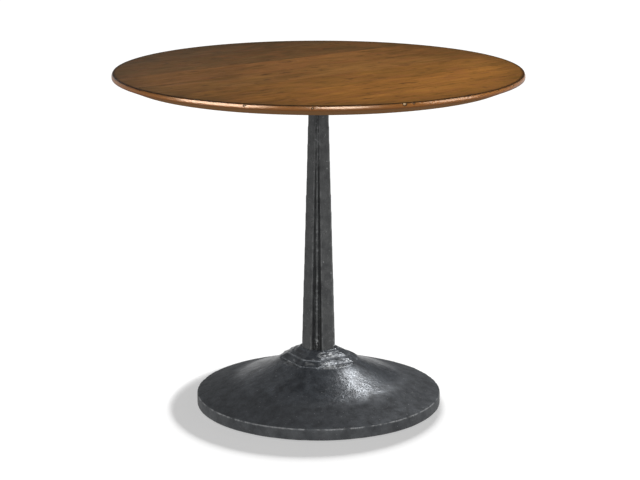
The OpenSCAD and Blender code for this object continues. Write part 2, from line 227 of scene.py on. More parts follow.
def wood_marks(tree, grain_place, shift):
    """Patterns of the grain, by name. shift moves them, so that no two planks match."""
    # Length and width of each kind of grain mark in mm, and the detail and distortion in it. The
    # fibres and pores are drawn about three times as wide as in real wood, so that they show
    marks = {}
    for mark, length, width, detail, distortion in (
        ("figure", 80, 15, 4.0, 1.2),
        ("warmth", 70, 28, 2.0, 0.8),
        ("dashes", 42, 8.0, 3.0, 0.5),
        ("fibres", 28, 1.1, 2.0, 0.0),
        ("pores", 7, 0.7, 1.0, 0.0),
        ("blotch", 170, 70, 3.0, 0.6),
    ):
        stretched = add(
            tree,
            "ShaderNodeMapping",
            {
                "Vector": grain_place,
                "Location": shift,
                "Scale": (1 / (length * MM), 1 / (width * MM), 1 / (width * MM)),
            },
        ).outputs[0]
        marks[mark] = add(
            tree,
            "ShaderNodeTexNoise",
            {"Vector": stretched, "Scale": 1.0, "Detail": detail, "Distortion": distortion},
        ).outputs["Fac"]
    return marks


def stain_masks(tree, marks, radius, height, sanded):
    """Where the stain is darker, rubbed, dirty or chipped, as a share for each, by name."""
    # Chips are pressed into the edge: dirt rings each, and pale bare wood shows in its middle
    pressed = add(tree, "ShaderNodeAttribute", attribute_name="chip").outputs["Fac"]
    # What each mask follows, where it starts and is full, its share there, and how it fades in
    masks = {}
    for mask, source, start, full, share, fade in (
        ("warm", marks["warmth"], 0.46, 0.68, 0.4, "LINEAR"),
        ("dash", marks["dashes"], 0.61, 0.69, 0.75, "LINEAR"),
        ("pore", marks["pores"], 0.66, 0.76, 0.55, "LINEAR"),
        ("near_edge", radius, TOP_R - 11 * MM, TOP_R - 3.4 * MM, 1.0, "SMOOTHSTEP"),
        ("toward_rim", radius, TOP_R - 75 * MM, TOP_R - 4 * MM, 0.4, "SMOOTHSTEP"),
        ("upper", height, TOP_Z - 1.9 * MM, TOP_Z - 0.6 * MM, 0.85, "LINEAR"),
        ("below_flat", height, TOP_Z - 0.5 * MM, TOP_Z - 1.4 * MM, 1.0, "LINEAR"),
        ("band", height, TOP_Z - 1.4 * MM, TOP_Z - 3 * MM, 0.8, "LINEAR"),
        ("band_foot", height, BAND_Z + 4.5 * MM, BAND_Z + 0.5 * MM, 0.6, "SMOOTHSTEP"),
        ("polish", height, BAND_Z + 0.2 * MM, BAND_Z + 0.9 * MM, 0.45, "LINEAR"),
        ("underside", height, UNDER_Z + 0.6 * MM, UNDER_Z + 0.2 * MM, 1.0, "LINEAR"),
        ("dirt", pressed, 0.02, 0.09, 0.85, "LINEAR"),
        ("chip", pressed, 0.35, 0.55, 1.0, "LINEAR"),
    ):
        masks[mask] = add(
            tree,
            "ShaderNodeMapRange",
            {"Value": source, "From Min": start, "From Max": full, "To Max": share},
            interpolation_type=fade,
        ).outputs[0]
    for product, one, other in (
        ("burnished", masks["near_edge"], masks["upper"]),
        ("toward_rim", masks["toward_rim"], masks["upper"]),
        ("bevel", sanded, 0.7),
        ("polish", masks["polish"], masks["below_flat"]),
    ):
        masks[product] = add(
            tree, "ShaderNodeMath", {0: one, 1: other}, operation="MULTIPLY"
        ).outputs[0]
    return masks


def stained_colour(tree, tone, streak, marks, masks, hearts, glue):
    """Colour of the stained wood, from its own tone and streaks out to the wear on its edge."""
    tones = add(tree, "ShaderNodeValToRGB", {"Fac": marks["figure"]})
    stops = tones.color_ramp.elements
    stops[0].position = 0.28
    stops[0].color = linear(streak)
    stops[1].position = 0.6
    stops[1].color = linear(tone)
    colour = tones.outputs[0]
    # How far each mark darkens and lightens the stain
    for mark, low, high in (("fibres", 0.86, 1.14), ("blotch", 0.7, 1.3)):
        tint = add(
            tree,
            "ShaderNodeMapRange",
            {
                "Value": marks[mark],
                "From Min": 0.25,
                "From Max": 0.75,
                "To Min": low,
                "To Max": high,
            },
        ).outputs[0]
        colour = add(
            tree,
            "ShaderNodeMix",
            {"Factor": 1.0, "A": colour, "B": tint},
            data_type="RGBA",
            blend_type="MULTIPLY",
        ).outputs["Result"]

    # The top is darker toward the rim, turns over the edge in a dark burnished line, is rubbed to a
    # warmer brown on the band, which is also painted lighter to stand in for light falling on it, and
    # darkens toward the band's foot; the stain lies thin on the bevel. The flat underside is sealed
    # dark, a tone that also stands in for the shade under the top
    layers = [(heart, "4a2f17") for heart in hearts]
    layers += [(line, "3a2410") for line in glue]
    layers += [
        (masks["warm"], "86532f"),
        (masks["toward_rim"], "4a371c"),
        (masks["dash"], "3f2a15"),
        (masks["pore"], "33200f"),
        # The band's warm tone is partly painted light
        (masks["band"], "c0762a"),
        (masks["band_foot"], "4a2812"),
        (masks["bevel"], "745b40"),
        (masks["burnished"], "2e1c0e"),
        # The underside's dark tone is partly painted shade
        (masks["underside"], "33261c"),
        (masks["dirt"], "2e1c0e"),
        (masks["chip"], "dcbd92"),
    ]
    for share, layer_tone in layers:
        colour = add(
            tree,
            "ShaderNodeMix",
            {"Factor": share, "A": colour, "B": linear(layer_tone)},
            data_type="RGBA",
        ).outputs["Result"]
    return colour


def stained_plank(name, tone, streak, shift, glue_lines, knots):
    """Planed wood, stained walnut brown under a thin satin lacquer, rubbed and worn at its edge.

    The eye sees soft blotches, short dark dashes along the grain, a few knots, a dark burnished
    line where the top turns over, and a warmer polished band below it, painted lighter to stand in for
    the light on it.
    """
    material, tree = new_material(name)
    place = add(tree, "ShaderNodeTexCoord").outputs["Object"]
    along, across, height = add(tree, "ShaderNodeSeparateXYZ", {0: place}).outputs
    flat = add(tree, "ShaderNodeCombineXYZ", {0: along, 1: across}).outputs[0]
    radius = add(tree, "ShaderNodeVectorMath", {0: flat}, operation="LENGTH").outputs["Value"]
    # The bevel underneath is left as it was sanded
    sanded = add(
        tree, "ShaderNodeMath", {0: height, 1: BAND_Z + 0.1 * MM}, operation="LESS_THAN"
    ).outputs[0]
    glue = [
        add(
            tree, "ShaderNodeMath", {0: across, 1: glue_y, 2: GLUE_HALF}, operation="COMPARE"
        ).outputs[0]
        for glue_y in glue_lines
    ]

    # The grain runs along X
    grain_across, hearts = rings_round_knots(tree, flat, across, knots)
    grain_place = add(
        tree, "ShaderNodeCombineXYZ", {0: along, 1: grain_across, 2: height}
    ).outputs[0]
    marks = wood_marks(tree, grain_place, shift)
    masks = stain_masks(tree, marks, radius, height, sanded)
    colour = stained_colour(tree, tone, streak, marks, masks, hearts, glue)

    rough = add(
        tree,
        "ShaderNodeMapRange",
        {"Value": marks["figure"], "From Min": 0.3, "From Max": 0.7, "To Min": 0.42, "To Max": 0.34},
    ).outputs[0]
    rough = add(
        tree, "ShaderNodeMix", {"Factor": sanded, "A": rough, "B": SANDED_ROUGHNESS}
    ).outputs["Result"]
    # Hands and cloths have polished the band, but not the dirt round its chips
    polish = add(
        tree,
        "ShaderNodeMath",
        {0: masks["polish"], 1: masks["dirt"]},
        operation="SUBTRACT",
        use_clamp=True,
    ).outputs[0]
    bump = None
    # Height of the relief that each mark leaves, in mm
    for mark, relief in (("dashes", 0.25), ("fibres", 0.06), ("pores", -0.1), ("blotch", 0.8)):
        sockets = {"Height": marks[mark], "Strength": 0.6, "Distance": abs(relief) * MM}
        if bump:
            sockets["Normal"] = bump
        bump = add(tree, "ShaderNodeBump", sockets, invert=relief < 0).outputs[0]
    # The stain by itself hardly shines: the coat of lacquer gives the band its highlights
    surface = add(
        tree,
        "ShaderNodeBsdfPrincipled",
        {
            "Base Color": colour,
            "Roughness": rough,
            "IOR": 1.5,
            "Specular IOR Level": 0.015,
            "Normal": bump,
            "Coat Weight": polish,
            "Coat Roughness": 0.22,
        },
    ).outputs[0]
    add(tree, "ShaderNodeOutputMaterial", {"Surface": surface})
    return material


def iron_marks(tree, place):
    """Patterns of a casting's surface, and the effects of the specks, flecks and patches, by name."""
    # Size in mm, detail and roughness of each kind of mark. The sand's pebbling and the specks are
    # drawn several times as coarse as real ones, so that they show. Patches are where wax clouds
    marks = {}
    for mark, size, detail, roughness in (
        ("sand", 9.0, 3.0, 0.5),
        ("patches", 22, 6.0, 0.66),
        ("specks", 4.0, 2.0, 0.5),
        ("flecks", 2.2, 1.0, 0.5),
    ):
        marks[mark] = add(
            tree,
            "ShaderNodeTexNoise",
            {
                "Vector": place,
                "Scale": 1 / (size * MM),
                "Detail": detail,
                "Roughness": roughness,
            },
        ).outputs["Fac"]
    # Specks are bare metal, flecks tint the tone and patches set the roughness: where each effect
    # starts and is full, and its value there
    effects = {}
    for mark, start, full, low, high in (
        ("specks", 0.71, 0.77, 0.0, 1.0),
        ("flecks", 0.3, 0.7, 0.78, 1.22),
        ("patches", 0.35, 0.7, 0.36, 0.25),
    ):
        effects[mark] = add(
            tree,
            "ShaderNodeMapRange",
            {
                "Value": marks[mark],
                "From Min": start,
                "From Max": full,
                "To Min": low,
                "To Max": high,
            },
        ).outputs[0]
    return marks, effects


def blackened_iron(name, grain, dark, light):
    """Sand cast iron, blackened and waxed. grain is the depth of the sand's pebbling in metres.

    The eye sees a dark satin grey with the pebbling of the sand, clouded polished patches, bare
    lighter metal on the rubbed edges and high spots, and soot and painted shade in the hollows.
    """
    material, tree = new_material(name)
    place = add(tree, "ShaderNodeTexCoord").outputs["Object"]
    marks, effects = iron_marks(tree, place)
    tones = add(tree, "ShaderNodeValToRGB", {"Fac": marks["patches"]})
    stops = tones.color_ramp.elements
    stops[0].position = 0.35
    stops[0].color = linear(dark)
    stops[1].position = 0.66
    stops[1].color = linear(light)
    colour = add(
        tree,
        "ShaderNodeMix",
        {"Factor": 1.0, "A": tones.outputs[0], "B": effects["flecks"]},
        data_type="RGBA",
        blend_type="MULTIPLY",
    ).outputs["Result"]

    rubbed = add(tree, "ShaderNodeAttribute", attribute_name="rubbed").outputs["Fac"]
    bare = add(
        tree, "ShaderNodeMath", {0: rubbed, 1: effects["specks"]}, operation="MAXIMUM"
    ).outputs[0]
    # Shoes have dulled the outer part of the foot; its darker tone there is partly painted shade
    flat = add(
        tree, "ShaderNodeVectorMath", {0: place, 1: (1, 1, 0)}, operation="MULTIPLY"
    ).outputs[0]
    from_axis = add(tree, "ShaderNodeVectorMath", {0: flat}, operation="LENGTH").outputs["Value"]
    dulled = add(
        tree,
        "ShaderNodeMapRange",
        {"Value": from_axis, "From Min": DULL_FROM, "From Max": DULL_FULL},
        interpolation_type="SMOOTHSTEP",
    ).outputs[0]
    rough = add(
        tree,
        "ShaderNodeMath",
        {0: dulled, 1: DULL_ROUGHNESS, 2: effects["patches"]},
        operation="MULTIPLY_ADD",
    ).outputs[0]
    scuffed_and_shaded = add(
        tree, "ShaderNodeMath", {0: dulled, 1: DULL_AND_SHADE_SHARE}, operation="MULTIPLY"
    ).outputs[0]
    # Hollows darken with soot and with painted shade
    hollows = add(tree, "ShaderNodeAttribute", attribute_name="soot_and_shade").outputs["Fac"]
    soot_and_shade = add(tree, "ShaderNodeMath", {0: hollows, 1: SOOT_AND_SHADE_SHARE}, operation="MULTIPLY").outputs[0]
    for share, layer_tone in ((bare, "b2b4b5"), (scuffed_and_shaded, "17181a"), (soot_and_shade, "101114")):
        colour = add(
            tree,
            "ShaderNodeMix",
            {"Factor": share, "A": colour, "B": linear(layer_tone)},
            data_type="RGBA",
        ).outputs["Result"]
    bump = add(
        tree,
        "ShaderNodeBump",
        {"Height": marks["sand"], "Strength": 0.6, "Distance": grain},
    ).outputs[0]
    # Black scale and wax cover much of the metal
    surface = add(
        tree,
        "ShaderNodeBsdfPrincipled",
        {"Base Color": colour, "Metallic": 0.45, "Roughness": rough, "Normal": bump},
    ).outputs[0]
    add(tree, "ShaderNodeOutputMaterial", {"Surface": surface})
    return material


def zinc_plated_steel(name):
    """Turned or pressed steel, bright zinc plated: pale, slightly cloudy and finely lined.

    The lines are drawn twice as far apart as a lathe leaves them, so that they show.
    """
    material, tree = new_material(name)
    place = add(tree, "ShaderNodeTexCoord").outputs["Object"]
    clouds = add(
        tree,
        "ShaderNodeTexNoise",
        {"Vector": place, "Scale": 1 / (6 * MM), "Detail": 4.0},
    ).outputs["Fac"]
    lines = add(
        tree,
        "ShaderNodeMapping",
        {"Vector": place, "Scale": (1 / (4 * MM), 1 / (4 * MM), 1 / (0.4 * MM))},
    ).outputs[0]
    turned = add(
        tree, "ShaderNodeTexNoise", {"Vector": lines, "Scale": 1.0, "Detail": 2.0}
    ).outputs["Fac"]
    tones = add(tree, "ShaderNodeValToRGB", {"Fac": clouds})
    tones.color_ramp.elements[0].color = linear("8f9294")
    tones.color_ramp.elements[1].color = linear("c3c6c7")
    rough = add(
        tree, "ShaderNodeMapRange", {"Value": clouds, "To Min": 0.28, "To Max": 0.46}
    ).outputs[0]
    bump = add(
        tree, "ShaderNodeBump", {"Height": turned, "Strength": 0.2, "Distance": 0.05 * MM}
    ).outputs[0]
    surface = add(
        tree,
        "ShaderNodeBsdfPrincipled",
        {"Base Color": tones.outputs[0], "Metallic": 1.0, "Roughness": rough, "Normal": bump},
    ).outputs[0]
    add(tree, "ShaderNodeOutputMaterial", {"Surface": surface})
    return material


def moulded_nylon(name):
    """Moulded black nylon: matte, with the spark texture of its mould.

    The texture is drawn several times as coarse as a real one, so that it shows.
    """
    material, tree = new_material(name)
    place = add(tree, "ShaderNodeTexCoord").outputs["Object"]
    spark = add(
        tree,
        "ShaderNodeTexNoise",
        {"Vector": place, "Scale": 1 / (0.8 * MM), "Detail": 2.0},
    ).outputs["Fac"]
    scuff = add(
        tree, "ShaderNodeTexNoise", {"Vector": place, "Scale": 1 / (10 * MM), "Detail": 4.0}
    ).outputs["Fac"]
    tones = add(tree, "ShaderNodeValToRGB", {"Fac": scuff})
    tones.color_ramp.elements[0].color = linear("1d1e20")
    tones.color_ramp.elements[1].color = linear("333437")
    bump = add(
        tree, "ShaderNodeBump", {"Height": spark, "Strength": 0.3, "Distance": 0.05 * MM}
    ).outputs[0]
    surface = add(
        tree,
        "ShaderNodeBsdfPrincipled",
        {"Base Color": tones.outputs[0], "Roughness": 0.55, "IOR": 1.53, "Normal": bump},
    ).outputs[0]
    add(tree, "ShaderNodeOutputMaterial", {"Surface": surface})
    return material


def spread(start, end, steps):
    """Evenly spaced values, both ends included."""
    return [start + (end - start) * step / steps for step in range(steps + 1)]


def top_profile():
    """(radius, height) pairs from the flat underside out, round the edge and onto the top."""
    # Rings crowd toward the edge, where the profile and the chips need them
    bevel = [
        (TOP_R - BEVEL_W * (1 - share), UNDER_Z + (BAND_Z - UNDER_Z) * share)
        for share in (0, 0.02, 0.2, 0.4, 0.6, 0.75, 0.86, 0.94, 0.975)
    ]
    band = [(TOP_R - 0.15 * MM, BAND_Z + 0.1 * MM), (TOP_R, BAND_Z + 0.8 * MM)]
    rounded = [
        (
            TOP_R - ROUND_W * (1 - math.cos(angle)),
            TOP_Z - ROUND_H * (1 - math.sin(angle)),
        )
        for angle in spread(0, math.pi / 2, 14)
    ]
    flat = [(TOP_R - inset * MM, TOP_Z) for inset in (5, 6.5, 8, 10.5, 14)]
    return [(TOP_R - BEVEL_W - 2 * MM, UNDER_Z)] + bevel + band + rounded + flat


def turned_top():
    """The whole top as one closed mesh, its flats left as single faces."""
    mesh = bmesh.new()
    rings = []
    for radius, height in top_profile():
        ring = []
        for turn in range(TURNS):
            angle = 2 * math.pi * turn / TURNS
            ring.append(mesh.verts.new((radius * math.cos(angle), radius * math.sin(angle), height)))
        rings.append(ring)
    for low, high in zip(rings, rings[1:]):
        for turn in range(TURNS):
            after = (turn + 1) % TURNS
            mesh.faces.new((low[turn], low[after], high[after], high[turn]))
    mesh.faces.new(list(reversed(rings[0])))
    mesh.faces.new(rings[-1])
    for face in mesh.faces:
        face.smooth = True
    mesh.normal_update()
    return mesh


# Chips along the edge: degrees to the right of the camera's direction, drop below the flat,
# width and depth in mm
CHIPS = (
    (-55, 1.5, 4.0, 0.6),
    (-19.0, 3.2, 5.0, 0.7),
    (-1.5, 5.0, 4.0, 0.6),
    (2.4, 0.8, 4.0, 0.7),
    (22.4, 1.2, 9.5, 1.3),
    (25.0, 1.8, 5.0, 0.8),
    (42.5, 1.2, 4.0, 0.7),
    (56.0, 1.0, 5.0, 0.8),
    (65.0, 1.4, 6.0, 0.9),
    (118.0, 0.8, 6.0, 0.8),
    (161.0, 0.6, 6.0, 0.8),
    (-140.0, 1.0, 5.0, 0.8),
    (-95.0, 1.4, 6.0, 0.9),
)
# A chip's soft edge reaches a little past its width
CHIP_REACH = 1.3


def chip_edge(mesh):
    """Presses the chips into the edge and records how deep each vertex went."""
    depth_layer = mesh.verts.layers.float.new("chip")
    for degrees, drop, width, depth in CHIPS:
        angle = CAMERA_AZIMUTH - math.pi / 2 + math.radians(degrees)
        centre = Vector((TOP_R * math.cos(angle), TOP_R * math.sin(angle), TOP_Z - drop * MM))
        for vert in mesh.verts:
            away = (vert.co - centre).length / (width * MM / 2 * CHIP_REACH)
            if away < 1:
                press = (1 - away * away) ** 2
                vert.co -= vert.normal * depth * MM * press
                vert[depth_layer] = max(vert[depth_layer], press)


def cut_plank(top, low, high):
    """The part of the top between two glue lines, as a mesh."""
    plank = top.copy()
    for position, direction in ((low, -1), (high, 1)):
        # The two outer planks end at the edge of the top itself
        if abs(position) > TOP_R - MM:
            continue
        cut = bmesh.ops.bisect_plane(
            plank,
            geom=plank.verts[:] + plank.edges[:] + plank.faces[:],
            plane_co=(0, position, 0),
            plane_no=(0, direction, 0),
            clear_outer=True,
        )
        edges = [item for item in cut["geom_cut"] if isinstance(item, bmesh.types.BMEdge)]
        filled = bmesh.ops.contextual_create(plank, geom=edges)["faces"]
        for face in filled:
            face.smooth = False
            for edge in face.edges:
                edge.smooth = False
    plank.normal_update()
    mesh = bpy.data.meshes.new("plank")
    plank.to_mesh(mesh)
    plank.free()
    return mesh


# Tone and streak of each plank, and its knots: place along X and Y in metres, and size in mm
PLANKS = {
    "top_board_1": ("94622d", "7d5827", []),
    "top_board_2": ("91602b", "7a5427", [(0.03, -0.25, 26)]),
    "top_board_3": ("865a29", "715026", []),
    "top_board_4": ("855c2e", "715029", [(-0.12, 0.02, 16)]),
    "top_board_5": ("84592e", "6e4e28", [(0.2, 0.1, 18)]),
    "top_board_6": ("6e4e2a", "5d4629", []),
    "top_board_7": ("694d2e", "594329", []),
}

top = turned_top()
chip_edge(top)
for number, board in enumerate(BOARDS):
    low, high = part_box(board)
    plank = new_piece(
        f"plank_{number + 1}", cut_plank(top, low[1], high[1]), "table", [board]
    )
    tone, streak, knots = PLANKS[board]
    # Each plank takes its grain from another part of the patterns
    shift = (1.7 * number + 0.4, 0.31 * number, 0.13 * number)
    glue_lines = [edge for edge in (low[1], high[1]) if abs(edge) < TOP_R - 5 * MM]
    plank.data.materials.append(
        stained_plank(f"stained_plank_{number + 1}", tone, streak, shift, glue_lines, knots)
    )
top.free()


def cast_skin(node, voxel, eased):
    """A copy of a CAD casting as one even mesh, its corners eased the way a sand mould leaves them."""
    source = frame["nodes"][node]
    rough = bpy.data.objects.new("rough casting", source.data.copy())
    scene.collection.objects.link(rough)
    even = rough.modifiers.new("even skin", "REMESH")
    even.mode = "VOXEL"
    even.voxel_size = voxel
    ease = rough.modifiers.new("eased corners", "SMOOTH")
    ease.factor = 0.5
    ease.iterations = eased
    graph = bpy.context.evaluated_depsgraph_get()
    mesh = bpy.data.meshes.new_from_object(rough.evaluated_get(graph))
    bpy.data.objects.remove(rough)
    mesh.materials.clear()
    return mesh


def vertex_arrays(mesh):
    """Places and normals of a mesh's vertices as arrays."""
    places = np.empty(len(mesh.vertices) * 3)
    normals = np.empty(len(mesh.vertices) * 3)
    mesh.vertices.foreach_get("co", places)
    mesh.vertices.foreach_get("normal", normals)
    return places.reshape(-1, 3), normals.reshape(-1, 3)


def lumps(places, size, seed):
    """Noise from about -0.5 to 0.5 at each place, with lumps of that size, which may differ by axis.

    seed only picks the pattern.
    """
    scaled = places / np.array(size) + seed
    return np.array([noise.noise(Vector(place)) for place in scaled.tolist()])


def ramp(values, start, end):
    """0 before start and 1 after end, smooth between."""
    share = np.clip((values - start) / (end - start), 0, 1)
    return share * share * (3 - 2 * share)


def neighbour_mean(mesh, places):
    """Mean place of each vertex's neighbours."""
    pairs = np.empty(len(mesh.edges) * 2, dtype=int)
    mesh.edges.foreach_get("vertices", pairs)
    here = np.concatenate((pairs[0::2], pairs[1::2]))
    there = np.concatenate((pairs[1::2], pairs[0::2]))
    count = np.bincount(here, minlength=len(places))
    totals = [np.bincount(here, places[there, axis], len(places)) for axis in range(3)]
    return np.stack(totals, axis=1) / count[:, None]


def standing_out(mesh, places, normals, rounds):
    """How far each vertex stands out of its surroundings, in metres; hollows count below zero.

    More rounds look at wider surroundings.
    """
    around = places
    for _ in range(rounds):
        around = neighbour_mean(mesh, around)
    return ((places - around) * normals).sum(axis=1)


def open_bore(places, normals, centre, radius):
    """Moves the softened wall of an upright bore out, clear of the screw that turns in it."""
    reach = radius + 2 * MM
    upright = np.abs(normals[:, 2]) < 0.6
    away = places[:, :2] - centre
    distance = np.maximum(np.hypot(away[:, 0], away[:, 1]), 0.01 * MM)
    wall = upright & (distance < reach)
    share = np.where(wall, np.maximum(radius / distance, 1), 1)
    places[:, :2] = centre + away * share[:, None]


def finish_casting(name, node, mesh, places, normals, relief, high_spots, edge_wear, iron):
    """Moves the skin by its relief, marks rubbed edges and hollows for soot and painted shade, and
    places it.

    edge_wear is the share of bare metal on the edges, high_spots the share elsewhere.
    """
    edges = ramp(standing_out(mesh, places, normals, 1), EDGE_FROM, EDGE_FULL)
    soot_and_shade = ramp(-standing_out(mesh, places, normals, 10), HOLLOW_FROM, HOLLOW_FULL)
    # The bare metal comes and goes along an edge
    broken = ramp(lumps(places, 14 * MM, 8.8) + 0.4 * lumps(places, 4 * MM, 6.1), -0.45, 0.3)
    rubbed = np.clip(edges * broken * edge_wear + high_spots, 0, 1)
    mesh.vertices.foreach_set("co", (places + normals * relief[:, None]).ravel())
    mesh.update()
    for attribute, values in (("rubbed", rubbed), ("soot_and_shade", soot_and_shade)):
        mesh.attributes.new(attribute, "FLOAT", "POINT").data.foreach_set("value", values)
    piece = new_piece(name, mesh, "table", [node])
    piece.data.materials.append(iron)


def cast_foot():
    """Foot: a slightly wavy bell, a plinth with soft worked steps, and a nicked, rubbed rim."""
    mesh = cast_skin("base_casting", FOOT_VOXEL, 2)
    places, normals = vertex_arrays(mesh)
    radii = np.hypot(places[:, 0], places[:, 1])
    on_plinth = ramp(-radii, -PLINTH_R, -PLINTH_R + 8 * MM)
    on_plinth *= ramp(places[:, 2], PLINTH_Z - 2 * MM, PLINTH_Z)
    # The plinth's steps ran soft in the mould
    places += 0.5 * on_plinth[:, None] * (neighbour_mean(mesh, places) - places)
    # The whole skin waves a little, and the plinth's faces are lumpier
    uneven = 0.5 * MM * lumps(places, 60 * MM, 3.1) + 0.2 * MM * lumps(places, 16 * MM, 7.7)
    worked = 0.35 * MM * lumps(places, (34 * MM, 34 * MM, 10 * MM), 11.3)
    worked += 0.3 * MM * lumps(places, (10 * MM, 10 * MM, 4 * MM), 5.9)
    rim_edge = ramp(radii, FOOT_R - 4 * MM, FOOT_R - 2 * MM)
    rim_edge *= ramp(places[:, 2], RIM_Z - 4 * MM, RIM_Z - 2 * MM)
    nicks = -0.8 * MM * rim_edge * np.clip(3 * lumps(places, 9 * MM, 2.2), 0, 1)
    relief = uneven + on_plinth * worked + nicks
    # The rim's edge is rubbed the most and the plinth's edges the least
    edge_wear = 0.55 - 0.35 * on_plinth + 1.1 * rim_edge
    rim_face = ramp(radii, FOOT_R - 1.6 * MM, FOOT_R - 0.6 * MM)
    high_spots = 0.4 * on_plinth * ramp(worked, 0.1 * MM, 0.26 * MM)
    high_spots += rim_face * (0.08 + 0.12 * ramp(lumps(places, 30 * MM, 6.6), -0.6, 0.5))
    for number in LEVELLERS:
        low, high = (np.array(corner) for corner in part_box(f"leveller_pad_{number}"))
        open_bore(places, normals, (low + high)[:2] / 2, SCREW_R + BORE_GAP)
    iron = blackened_iron("blackened_iron_foot", 1.25 * MM, "2e3135", "505459")
    finish_casting(
        "foot_casting", "base_casting", mesh, places, normals, relief, high_spots, edge_wear, iron
    )


def cast_column():
    """Column: wavy faces, and a lumpy bead in each corner that grows coarser toward the foot."""
    mesh = cast_skin("column_casting", COLUMN_VOXEL, 1)
    places, normals = vertex_arrays(mesh)
    from_corner = np.abs(np.abs(places[:, 0]) - np.abs(places[:, 1]))
    on_bead = ramp(-from_corner, -7 * MM, -3 * MM)
    near_foot = ramp(-places[:, 2], -SEAT_Z - 34 * MM, -SEAT_Z - 8 * MM)
    beaded = lumps(places, 6 * MM, 4.4)
    wavy = COLUMN_PROUD + 0.15 * MM * lumps(places, (40 * MM, 40 * MM, 70 * MM), 1.3)
    relief = wavy + on_bead * beaded * (0.45 + 1.8 * near_foot) * MM
    # The beads' high spots are rubbed bare, a little in patches and the most near the foot
    patchy = ramp(lumps(places, (60 * MM, 60 * MM, 50 * MM), 9.2), -0.05, 0.2)
    high_spots = on_bead * ramp(beaded, 0.15, 0.4) * np.maximum(0.15 * patchy, 0.8 * near_foot)
    iron = blackened_iron("blackened_iron_column", 0.45 * MM, "2f3031", "474848")
    finish_casting(
        "tapered_column", "column_casting", mesh, places, normals, relief, high_spots, 0.15, iron
    )


def finish_node(name, material):
    """Gives a CAD node its material."""
    node = frame["nodes"][name]
    node.data.materials.clear()
    node.data.materials.append(material)


cast_foot()
cast_column()
plate_iron = blackened_iron("blackened_iron_spider_plate", 0.7 * MM, "2f3031", "474848")
steel = zinc_plated_steel("zinc_plated_steel")
nylon = moulded_nylon("moulded_nylon")
finish_node("spider_plate", plate_iron)
for name in (
    "tie_rod",
    "rod_washer_lower",
    "rod_nut_lower",
    "rod_washer_upper",
    "rod_nut_upper",
    "wood_screws",
):
    finish_node(name, steel)
for number in LEVELLERS:
    finish_node(f"leveller_pad_{number}", nylon)
    finish_node(f"leveller_stem_{number}", steel)


def camera_frame(right, away, up):
    """Direction given as seen from the camera, turned into the part's frame."""
    cos, sin = math.cos(CAMERA_AZIMUTH), math.sin(CAMERA_AZIMUTH)
    return Vector((right * cos - away * sin, right * sin + away * cos, up))


def seen_direction(azimuth, elevation):
    """Direction at an angle to the right of the camera's own, and above the horizon, in degrees."""
    turn, lift = math.radians(azimuth), math.radians(elevation)
    return camera_frame(
        math.sin(turn) * math.cos(lift), -math.cos(turn) * math.cos(lift), math.sin(lift)
    )


def studio_floor():
    """Pale painted floor. The camera sees it white where nothing shades it."""
    bpy.ops.mesh.primitive_plane_add(size=120)
    floor = bpy.context.object
    floor.name = "floor"
    material, tree = new_material("pale_floor")
    paint, shaded = (
        add(tree, "ShaderNodeBsdfDiffuse", {"Color": (level, level, level, 1)}).outputs[0]
        for level in (FLOOR_PAINT, FLOOR_SHADED)
    )
    # The camera's floor has levels of its own, which set how dark the shadow is
    steady = add(tree, "ShaderNodeEmission", {"Strength": FLOOR_STEADY}).outputs[0]
    seen = add(tree, "ShaderNodeAddShader", {0: shaded, 1: steady}).outputs[0]
    # What shines sees it plainly lit, and darker to the left: a painted shade that only reflections
    # see
    place = add(tree, "ShaderNodeTexCoord").outputs["Object"]
    leftward = add(
        tree,
        "ShaderNodeVectorMath",
        {0: place, 1: seen_direction(-104, 0)},
        operation="DOT_PRODUCT",
    ).outputs["Value"]
    reflected_shade = add(
        tree,
        "ShaderNodeMapRange",
        {"Value": leftward, "From Min": 0.3, "From Max": 0.9, "To Min": 1.0, "To Max": 0.68},
    ).outputs[0]
    mirrored = add(tree, "ShaderNodeEmission", {"Strength": reflected_shade}).outputs[0]
    # Seen from below it is clear, so that the foot's hollow shows
    from_below = add(tree, "ShaderNodeNewGeometry").outputs["Backfacing"]
    clear = add(tree, "ShaderNodeBsdfTransparent").outputs[0]
    seen = add(tree, "ShaderNodeMixShader", {0: from_below, 1: seen, 2: clear}).outputs[0]
    rays = add(tree, "ShaderNodeLightPath")
    surface = add(
        tree, "ShaderNodeMixShader", {0: rays.outputs["Is Camera Ray"], 1: paint, 2: seen}
    ).outputs[0]
    surface = add(
        tree, "ShaderNodeMixShader", {0: rays.outputs["Is Glossy Ray"], 1: surface, 2: mirrored}
    ).outputs[0]
    add(tree, "ShaderNodeOutputMaterial", {"Surface": surface})
    floor.data.materials.append(material)
    return floor


